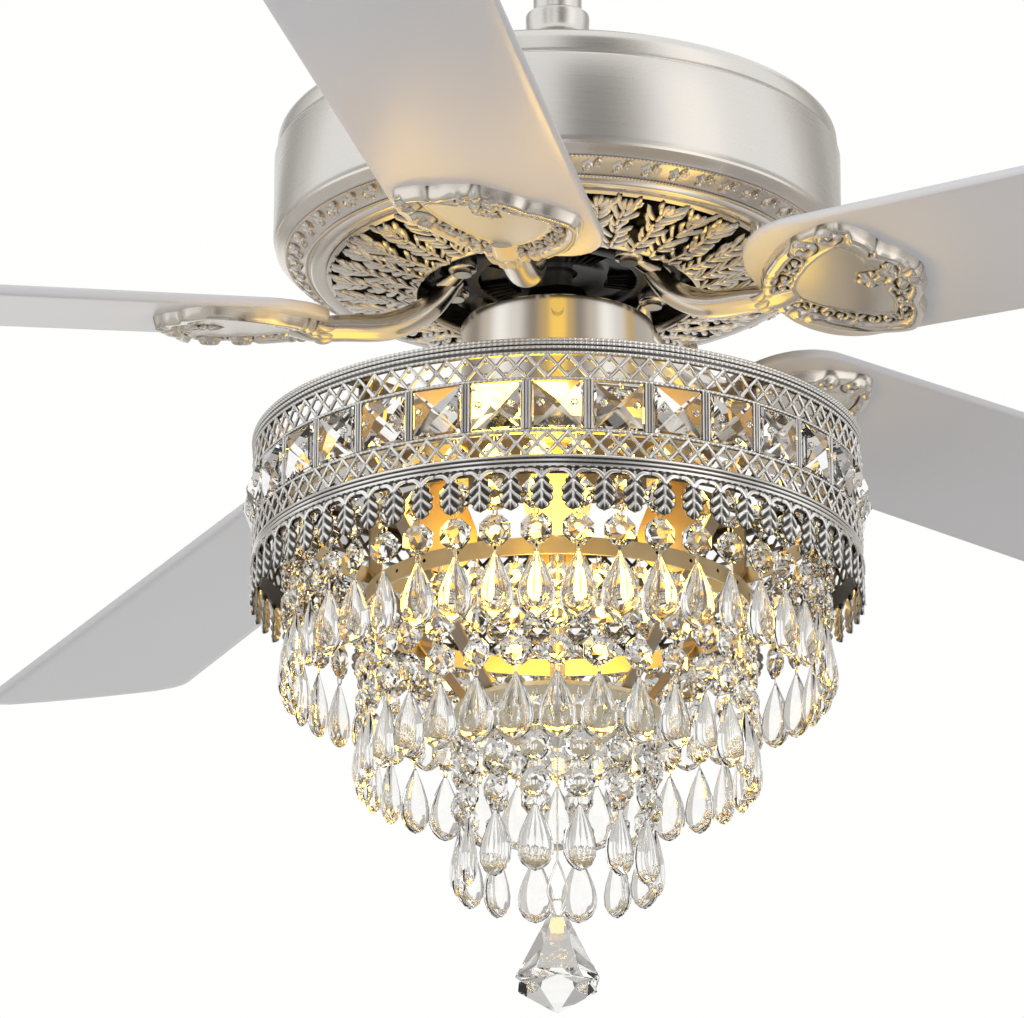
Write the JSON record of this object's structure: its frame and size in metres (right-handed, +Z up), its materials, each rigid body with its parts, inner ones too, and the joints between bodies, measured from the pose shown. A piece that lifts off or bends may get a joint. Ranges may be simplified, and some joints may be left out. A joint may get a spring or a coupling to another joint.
{
  "type": "chandelier ceiling fan",
  "caption": "Chandelier ceiling fan on a downrod: pitched blades on cast leaf irons turn under a nickel motor, above a jewelled band with tiers of hanging crystal strands.",
  "frame": {"origin": "centre of the hanger bracket's top face, on the ceiling plane", "axes": "+Z up into the ceiling, +X along the two ceiling slots, -Y towards the picture's viewer"},
  "size_m": [1.2594, 1.2726, 0.645],
  "materials": {
    "nickel": "satin nickel plate",
    "silver": "antiqued silver casting, dark in its recesses",
    "champagne": "champagne nickel casting",
    "hub_black": "black paint",
    "blade": "light grey satin lacquer on plywood",
    "crystal": "clear cut crystal",
    "lamp": "frosted warm lamp",
    "copper": "enamelled copper wire",
    "steel": "plain steel",
    "black_plastic": "moulded",
    "lamp_holder": "moulded"
  },
  "bodies": {
    "ceiling_mount": {"hanger_bracket": "steel", "canopy": "nickel", "canopy_screws": "nickel"},
    "fan_body": {"hanger_ball": "black_plastic", "ball_pin": "steel", "downrod": "nickel", "yoke": "steel", "yoke_bolt": "steel", "yoke_screws": "steel", "coupling_cover": "nickel", "motor_housing": "nickel", "trim_ring": "champagne", "grille": "champagne", "thumb_screws": "nickel", "motor_shaft": "steel", "stator_core": "steel", "stator_windings": "copper", "cup_mount": "steel", "switch_cup": "nickel", "cup_screws": "nickel", "run_capacitor": "black_plastic", "light_spider": "steel", "band_frame": "silver", "upper_lattice": "silver", "lower_lattice": "silver", "jewels": "crystal", "leaf_fringe": "silver", "tier_ring_1": "silver", "tier_ring_2": "silver", "tier_plate_3": "silver", "tier_straps": "steel", "lamp_sockets": "lamp_holder", "bulbs": "lamp", "centre_rod": "steel", "nuts": "steel", "octagons_tier_1": "crystal", "octagons_tier_2": "crystal", "octagons_tier_3": "crystal", "drops_tier_1": "crystal", "drops_tier_2": "crystal", "drops_tier_3": "crystal", "strand_links": "silver"},
    "rotor": {"bearings": "steel", "rotor_top_cover": "hub_black", "rotor_cage": "hub_black", "rotor_bottom_cover": "hub_black", "blade_screws": "steel", "iron_screws": "steel", "blade_iron_1": "silver", "blade_iron_2": "silver", "blade_iron_3": "silver", "blade_iron_4": "silver", "blade_iron_5": "silver", "blade_1": "blade", "blade_2": "blade", "blade_3": "blade", "blade_4": "blade", "blade_5": "blade"},
    "pendant": {"pendant_link": "silver", "pendant_crystal": "crystal"}
  },
  "joints": [
    {"name": "hanger_tilt", "type": "hinge", "parent": "ceiling_mount", "child": "fan_body", "pos_m": [0, 0, -0.038], "axis": [1, 0, 0], "range_deg": [-15, 15]},
    {"name": "fan_spin", "type": "hinge", "parent": "fan_body", "child": "rotor", "pos_m": [0, 0, -0.25], "axis": [0, 0, 1], "continuous": true},
    {"name": "pendant_swing", "type": "hinge", "parent": "fan_body", "child": "pendant", "pos_m": [0, 0, -0.5128], "axis": [1, 0, 0], "range_deg": [-25, 25]}
  ]
}
